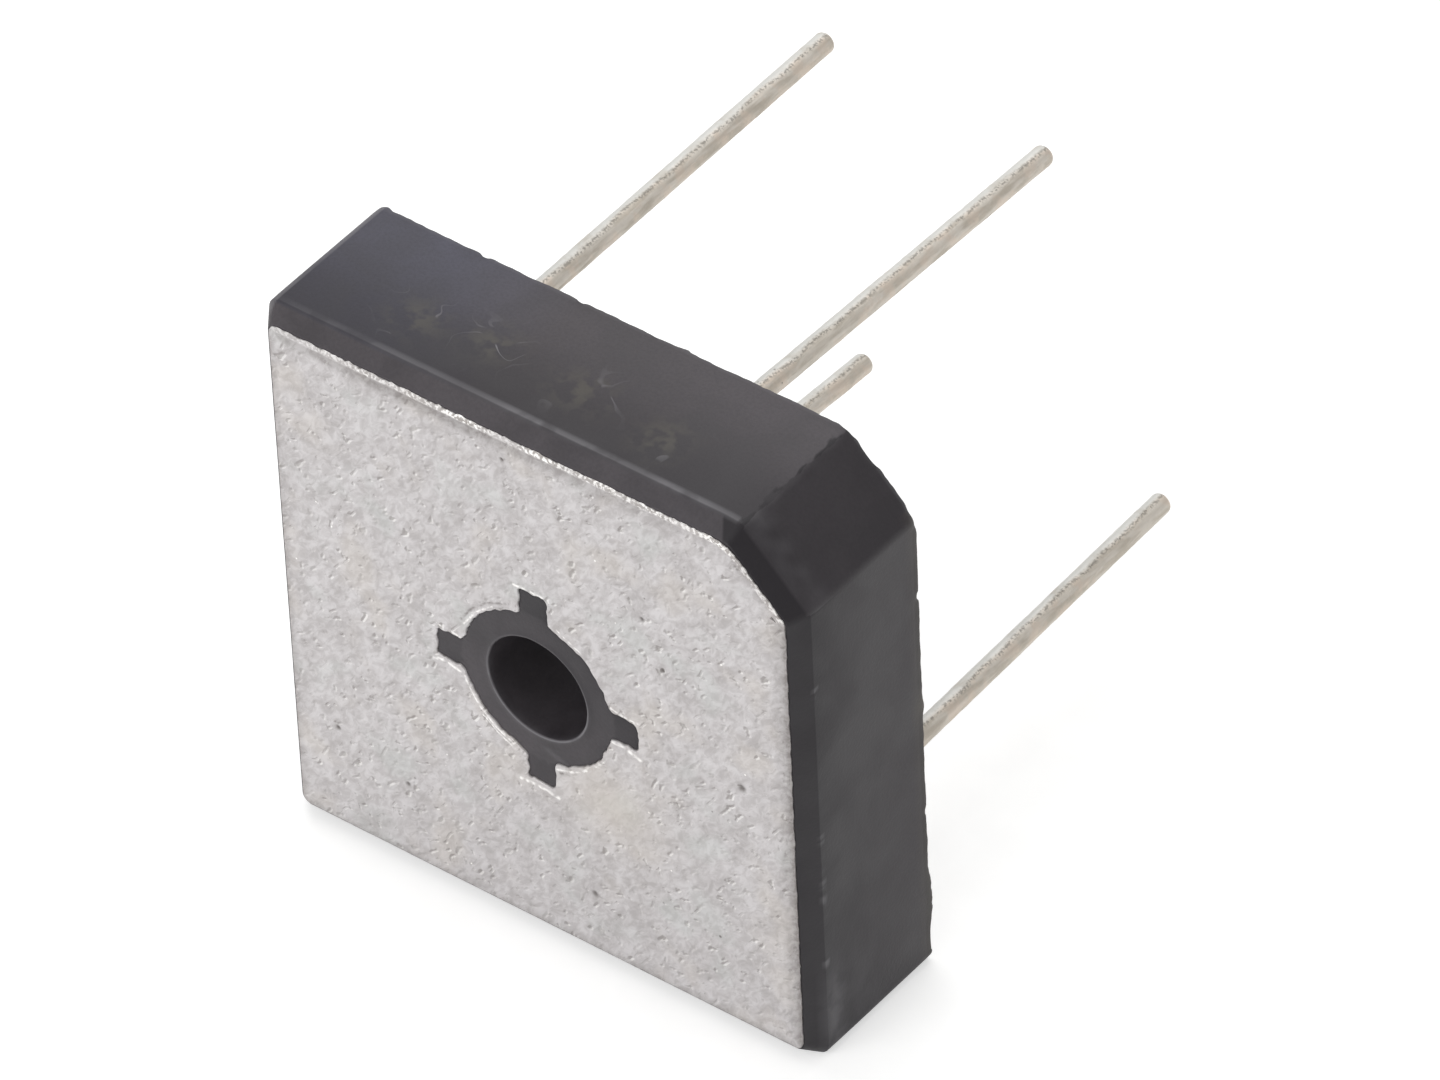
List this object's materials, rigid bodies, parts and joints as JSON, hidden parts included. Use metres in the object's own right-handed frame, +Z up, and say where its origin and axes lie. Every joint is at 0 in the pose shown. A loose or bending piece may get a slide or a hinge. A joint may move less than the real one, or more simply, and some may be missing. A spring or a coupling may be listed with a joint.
{
  "type": "bridge rectifier",
  "caption": "Square moulded bridge rectifier with a bare metal cooling plate, a central screw hole and round wire leads at the back.",
  "frame": {"origin": "centre of the screw hole at the cooling plate's face", "axes": "-Y is the outward normal of the cooling plate, +Y runs along the screw hole towards the leads, +Z is up with the case standing on its bottom edge, and the cut corner is at +X +Z"},
  "size_m": [0.0288, 0.033, 0.0288],
  "materials": {
    "cooling_plate": "satin, rolled and pickled",
    "case_epoxy": "moulded matt black",
    "potting_resin": "cast semi-matt black",
    "copper_frame": "stamped copper",
    "silicon_die": "polished silicon",
    "solder": "reflowed solder",
    "tinned_lead": "tin-dipped drawn copper wire"
  },
  "bodies": {
    "root": {"base_plate": "cooling_plate", "moulded_case": "case_epoxy", "potting": "potting_resin", "positive_frame": "copper_frame", "ac_frame_left": "copper_frame", "negative_frame": "copper_frame", "ac_frame_right": "copper_frame", "die_1": "silicon_die", "die_2": "silicon_die", "die_3": "silicon_die", "die_4": "silicon_die", "solder_front_1": "solder", "solder_front_2": "solder", "solder_front_3": "solder", "solder_front_4": "solder", "solder_back_1": "solder", "solder_back_2": "solder", "solder_back_3": "solder", "solder_back_4": "solder", "lead_solder_positive": "solder", "lead_solder_ac_left": "solder", "lead_solder_negative": "solder", "lead_solder_ac_right": "solder", "positive_lead": "tinned_lead", "ac_lead_left": "tinned_lead", "negative_lead": "tinned_lead", "ac_lead_right": "tinned_lead"}
  },
  "joints": []
}
